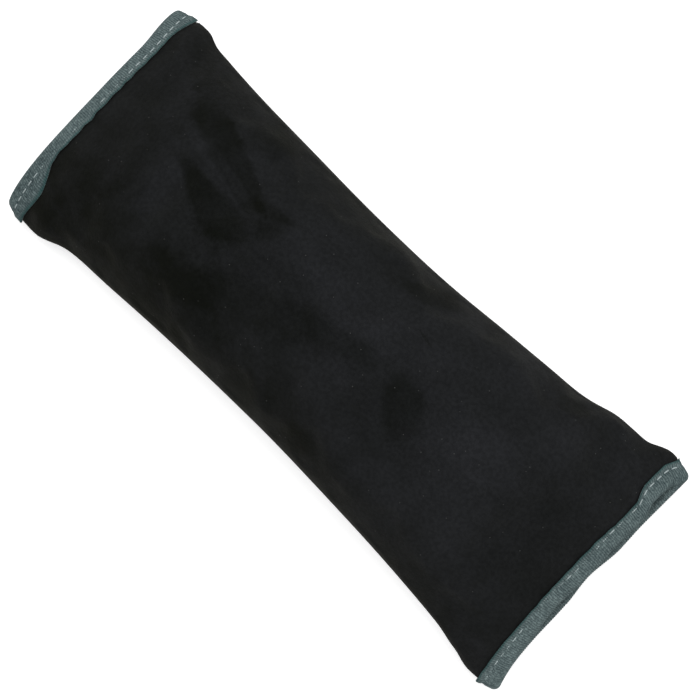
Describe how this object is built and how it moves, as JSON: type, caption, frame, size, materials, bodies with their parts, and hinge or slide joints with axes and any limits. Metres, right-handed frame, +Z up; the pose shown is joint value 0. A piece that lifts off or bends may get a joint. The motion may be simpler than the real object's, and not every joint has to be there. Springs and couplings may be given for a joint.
{
  "type": "seat belt shoulder pad",
  "caption": "Stuffed velour cushion that wraps round a shoulder belt, with a belt channel along its back, overlapping flaps with hook and loop tape, and bound open ends.",
  "frame": {"origin": "on the table under the middle of the pad, which lies on its back", "axes": "+X along the pad towards its wider end, +Y across it towards the hook flap's seam, +Z up through the cushion"},
  "size_m": [0.294, 0.1246, 0.0546],
  "materials": {
    "velour": "short black pile with brushed marks",
    "binding": "matt ribbed knit, slate grey",
    "lining": "thin matt woven cloth, slate grey",
    "fibre": "white polyester fibre",
    "tape": "black hook and loop tape"
  },
  "bodies": {
    "root": {"front_panel": "velour", "filling": "fibre", "belt_lining": "lining", "loop_flap": "velour", "hook_flap": "velour", "loop_tape": "tape", "hook_tape": "tape", "wide_end_binding": "binding", "slim_end_binding": "binding"}
  },
  "joints": []
}
